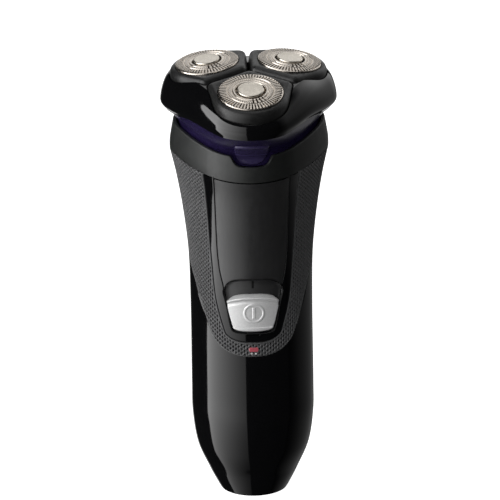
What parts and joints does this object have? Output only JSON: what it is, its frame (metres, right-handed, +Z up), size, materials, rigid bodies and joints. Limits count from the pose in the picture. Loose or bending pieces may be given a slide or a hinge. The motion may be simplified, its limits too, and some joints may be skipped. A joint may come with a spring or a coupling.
{
  "type": "electric shaver",
  "caption": "Hand-held rotary electric shaver: round shaving heads in a tilted, hinged head, a sliding power switch and a rubber grip",
  "frame": {"origin": "on the flat bottom end of the handle, in the symmetry plane, under the line where the handle is widest", "axes": "+Z up along the handle, -Y towards the front with the power switch, +X to the right as seen from the front"},
  "size_m": [0.0638, 0.0644, 0.166],
  "materials": {
    "gloss_black": "high-gloss moulded black plastic",
    "satin_graphite": "satin graphite lacquer with a fine vertical brush",
    "grip_rubber": "soft rubber with a moulded mesh relief",
    "indigo": "semi-gloss very dark indigo plastic",
    "pod_black": "satin black plastic",
    "foil_steel": "ground warm stainless steel",
    "silver_lacquer": "satin silver lacquer on plastic",
    "inner_grey": "plain moulded engineering plastic",
    "gear_white": "natural acetal",
    "bright_steel": "bright drawn steel",
    "contact_brass": "plain brass",
    "cell_sleeve": "plain blue sleeve on a metal can",
    "board_green": "green solder mask",
    "red_lens": "clear red light pipe"
  },
  "bodies": {
    "handle": {"front_casing": "gloss_black", "rear_casing": "gloss_black", "grip": "grip_rubber", "panel_frame": "gloss_black", "front_panel": "satin_graphite", "collar": "satin_graphite", "neck": "indigo", "hinge_pin": "bright_steel", "circuit_board": "board_green", "switch_body": "inner_grey", "status_light": "red_lens", "chassis": "inner_grey", "battery_cell_left": "cell_sleeve", "battery_cell_right": "cell_sleeve", "battery_contact_top": "contact_brass", "battery_contact_bottom": "contact_brass", "charging_inlet": "inner_grey", "inlet_pin_left": "contact_brass", "inlet_pin_right": "contact_brass", "case_screw_1": "bright_steel", "case_screw_2": "bright_steel", "release_spring": "bright_steel", "spindle_seal_front": "grip_rubber", "spindle_seal_left": "grip_rubber", "spindle_seal_right": "grip_rubber", "gear_plate": "inner_grey", "motor_can": "bright_steel", "motor_end_cap": "inner_grey"},
    "slider": {"power_slider": "silver_lacquer", "slider_carrier": "inner_grey"},
    "release": {"release_button": "indigo"},
    "motor_rotor": {"motor_shaft": "bright_steel", "motor_pinion": "contact_brass"},
    "gear_front": {"drive_gear_front": "gear_white", "drive_spindle_front": "bright_steel"},
    "gear_left": {"drive_gear_left": "gear_white", "drive_spindle_left": "bright_steel"},
    "gear_right": {"drive_gear_right": "gear_white", "drive_spindle_right": "bright_steel"},
    "head_unit": {"head_skirt": "gloss_black", "head_carrier": "inner_grey"},
    "pod_front_unit": {"pod_front": "pod_black", "foil_front": "foil_steel", "foil_cap_front": "foil_steel", "cutter_retainer_front": "pod_black"},
    "pod_left_unit": {"pod_left": "pod_black", "foil_left": "foil_steel", "foil_cap_left": "foil_steel", "cutter_retainer_left": "pod_black"},
    "pod_right_unit": {"pod_right": "pod_black", "foil_right": "foil_steel", "foil_cap_right": "foil_steel", "cutter_retainer_right": "pod_black"},
    "cutter_front_unit": {"cutter_front": "foil_steel"},
    "cutter_left_unit": {"cutter_left": "foil_steel"},
    "cutter_right_unit": {"cutter_right": "foil_steel"}
  },
  "joints": [
    {"name": "power_slide", "type": "slide", "parent": "handle", "child": "slider", "axis": [0, 0, 1], "range_m": [0, 0.004]},
    {"name": "release_press", "type": "slide", "parent": "handle", "child": "release", "axis": [0, 1, 0], "range_m": [0, 0.0015], "stiffness_N_per_m": 200, "deforming": ["release_spring"]},
    {"name": "head_open", "type": "hinge", "parent": "handle", "child": "head_unit", "pos_m": [0, 0.025, 0.1478], "axis": [-1, 0, 0], "range_deg": [0, 95]},
    {"name": "pod_front_flex", "type": "hinge", "parent": "head_unit", "child": "pod_front_unit", "pos_m": [0, -0.02271, 0.15209], "axis": [1, 0, 0], "range_deg": [-4, 4], "stiffness_Nm_per_rad": 0.2},
    {"name": "pod_left_flex", "type": "hinge", "parent": "head_unit", "child": "pod_left_unit", "pos_m": [-0.01426, 0.00136, 0.15765], "axis": [-0.5, -0.8438, -0.1948], "range_deg": [-4, 4], "stiffness_Nm_per_rad": 0.2},
    {"name": "pod_right_flex", "type": "hinge", "parent": "head_unit", "child": "pod_right_unit", "pos_m": [0.01426, 0.00136, 0.15765], "axis": [-0.5, 0.8438, 0.1948], "range_deg": [-4, 4], "stiffness_Nm_per_rad": 0.2},
    {"name": "gear_front_spin", "type": "hinge", "parent": "handle", "child": "gear_front", "pos_m": [0, -0.02405, 0.1579], "axis": [0, -0.225, 0.9744], "continuous": true},
    {"name": "gear_left_spin", "type": "hinge", "parent": "handle", "child": "gear_left", "pos_m": [-0.01426, 0.00002, 0.16345], "axis": [0, -0.225, 0.9744], "continuous": true},
    {"name": "gear_right_spin", "type": "hinge", "parent": "handle", "child": "gear_right", "pos_m": [0.01426, 0.00002, 0.16345], "axis": [0, -0.225, 0.9744], "continuous": true},
    {"name": "motor_spin", "type": "hinge", "parent": "handle", "child": "motor_rotor", "pos_m": [0, -0.008, 0.1616], "axis": [0, -0.225, 0.9744], "continuous": true},
    {"name": "cutter_front_spin", "type": "hinge", "parent": "pod_front_unit", "child": "cutter_front_unit", "pos_m": [0, -0.02476, 0.15773], "axis": [0, -0.342, 0.9397], "continuous": true},
    {"name": "cutter_left_spin", "type": "hinge", "parent": "pod_left_unit", "child": "cutter_left_unit", "pos_m": [-0.0149, 0.00038, 0.16353], "axis": [-0.1055, -0.1639, 0.9808], "continuous": true},
    {"name": "cutter_right_spin", "type": "hinge", "parent": "pod_right_unit", "child": "cutter_right_unit", "pos_m": [0.0149, 0.00038, 0.16353], "axis": [0.1055, -0.1639, 0.9808], "continuous": true}
  ],
  "couplings": [
    {"joint": "gear_left_spin", "follows": "gear_front_spin", "ratio": 1},
    {"joint": "gear_right_spin", "follows": "gear_front_spin", "ratio": 1},
    {"joint": "motor_spin", "follows": "gear_front_spin", "ratio": -1.5},
    {"joint": "cutter_front_spin", "follows": "gear_front_spin", "ratio": 1},
    {"joint": "cutter_left_spin", "follows": "gear_front_spin", "ratio": 1},
    {"joint": "cutter_right_spin", "follows": "gear_front_spin", "ratio": 1}
  ]
}
